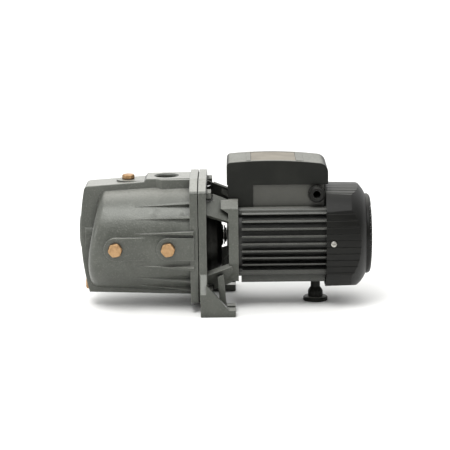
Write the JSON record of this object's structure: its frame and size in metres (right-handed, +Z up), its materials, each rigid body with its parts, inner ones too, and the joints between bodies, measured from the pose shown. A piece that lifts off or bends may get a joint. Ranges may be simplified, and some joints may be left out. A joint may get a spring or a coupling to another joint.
{
  "type": "centrifugal water pump",
  "caption": "Close-coupled self-priming centrifugal water pump with finned motor, terminal box, brass plugs, cast bracket feet and rear support foot",
  "frame": {"origin": "on the floor, midway along the overall length, in the vertical plane through the shaft axis", "axes": "+X along the shaft from the suction port to the fan hood, +Y to the side away from the brass side plugs, +Z up; the discharge port opens along +Z and the suction port along -X"},
  "size_m": [0.3978, 0.184, 0.2019],
  "materials": {
    "grey_paint": "metallic grey paint over cast iron",
    "motor_paint": "near-black satin paint",
    "shield_alu": "as cast",
    "brass": "machined",
    "steel": "turned and zinc plated",
    "black_steel": "pressed steel, dark coating",
    "lamination": "laminated steel",
    "copper": "varnished copper wire",
    "black_plastic": "satin moulded",
    "box_metal": "grey paint, fine texture",
    "resin": "moulded resin",
    "white_plastic": "moulded",
    "label": "blank satin label",
    "rubber": "moulded",
    "ceramic": "lapped",
    "graphite": "lapped carbon"
  },
  "bodies": {
    "pump": {"bolt_washers": "grey_paint", "box_base": "box_metal", "box_cover": "black_plastic", "box_gasket": "rubber", "box_label": "label", "bracket": "grey_paint", "capacitor": "white_plastic", "casing": "grey_paint", "cover_screws": "steel", "diffuser": "resin", "fan_hood": "black_plastic", "flange_bolts": "grey_paint", "flange_o_ring": "rubber", "front_bearing_outer_ring": "steel", "gland_body": "black_plastic", "gland_locknut": "black_plastic", "gland_nut": "black_plastic", "gland_seal": "rubber", "hood_screws": "steel", "motor_frame": "motor_paint", "nozzle": "brass", "rear_bearing_outer_ring": "steel", "rear_foot": "black_plastic", "rear_foot_screw": "steel", "rear_shield": "shield_alu", "seal_cover": "black_steel", "seal_seat": "ceramic", "stator_core": "lamination", "terminal_block": "white_plastic", "tie_rods": "steel", "venturi_tube": "resin", "wave_washer": "steel", "windings": "copper"},
    "rotor": {"shaft": "steel", "impeller": "brass", "impeller_key": "steel", "impeller_nut": "brass", "seal_ring": "graphite", "seal_spring": "steel", "slinger": "rubber", "rotor_core": "lamination", "rotor_end_rings": "shield_alu", "fan": "black_plastic", "front_bearing_inner_ring": "steel", "rear_bearing_inner_ring": "steel"},
    "front_cage": {"front_bearing_balls": "steel", "front_bearing_cage": "steel"},
    "rear_cage": {"rear_bearing_balls": "steel", "rear_bearing_cage": "steel"},
    "filler_washer_body": {"filler_washer": "copper"},
    "filler_plug_body": {"filler_plug": "brass"},
    "drain_washer_body": {"drain_washer": "copper"},
    "drain_plug_body": {"drain_plug": "brass"},
    "side_washer_front_body": {"side_washer_front": "copper"},
    "side_plug_front_body": {"side_plug_front": "brass"},
    "side_washer_rear_body": {"side_washer_rear": "copper"},
    "side_plug_rear_body": {"side_plug_rear": "brass"}
  },
  "joints": [
    {"name": "shaft_spin", "type": "hinge", "parent": "pump", "child": "rotor", "pos_m": [0, 0, 0.093], "axis": [1, 0, 0], "continuous": true},
    {"name": "front_cage_spin", "type": "hinge", "parent": "pump", "child": "front_cage", "pos_m": [0.01085, 0, 0.093], "axis": [1, 0, 0], "continuous": true},
    {"name": "rear_cage_spin", "type": "hinge", "parent": "pump", "child": "rear_cage", "pos_m": [0.12795, 0, 0.093], "axis": [1, 0, 0], "continuous": true},
    {"name": "filler_plug_lift", "type": "slide", "parent": "pump", "child": "filler_washer_body", "axis": [0, 0, 1], "range_m": [0, 0.014]},
    {"name": "filler_plug_turn", "type": "hinge", "parent": "filler_washer_body", "child": "filler_plug_body", "pos_m": [-0.13215, 0, 0.1722], "axis": [0, 0, 1], "range_deg": [-5, 3427.2]},
    {"name": "drain_plug_lift", "type": "slide", "parent": "pump", "child": "drain_washer_body", "axis": [-1, 0, 0], "range_m": [0, 0.014]},
    {"name": "drain_plug_turn", "type": "hinge", "parent": "drain_washer_body", "child": "drain_plug_body", "pos_m": [-0.18735, 0, 0.0274], "axis": [-1, 0, 0], "range_deg": [-5, 3427.2]},
    {"name": "side_plug_front_lift", "type": "slide", "parent": "pump", "child": "side_washer_front_body", "axis": [0, -1, 0], "range_m": [0, 0.012]},
    {"name": "side_plug_front_turn", "type": "hinge", "parent": "side_washer_front_body", "child": "side_plug_front_body", "pos_m": [-0.14705, -0.0758, 0.09], "axis": [0, -1, 0], "range_deg": [-5, 4406.4]},
    {"name": "side_plug_rear_lift", "type": "slide", "parent": "pump", "child": "side_washer_rear_body", "axis": [0, -1, 0], "range_m": [0, 0.012]},
    {"name": "side_plug_rear_turn", "type": "hinge", "parent": "side_washer_rear_body", "child": "side_plug_rear_body", "pos_m": [-0.07675, -0.0776, 0.09], "axis": [0, -1, 0], "range_deg": [-5, 4406.4]}
  ],
  "couplings": [
    {"joint": "front_cage_spin", "follows": "shaft_spin", "ratio": 0.3789},
    {"joint": "rear_cage_spin", "follows": "shaft_spin", "ratio": 0.38},
    {"joint": "filler_plug_turn", "follows": "filler_plug_lift", "rad_per_m": 4188.8},
    {"joint": "drain_plug_turn", "follows": "drain_plug_lift", "rad_per_m": 4188.8},
    {"joint": "side_plug_front_turn", "follows": "side_plug_front_lift", "rad_per_m": 6283.2},
    {"joint": "side_plug_rear_turn", "follows": "side_plug_rear_lift", "rad_per_m": 6283.2}
  ]
}
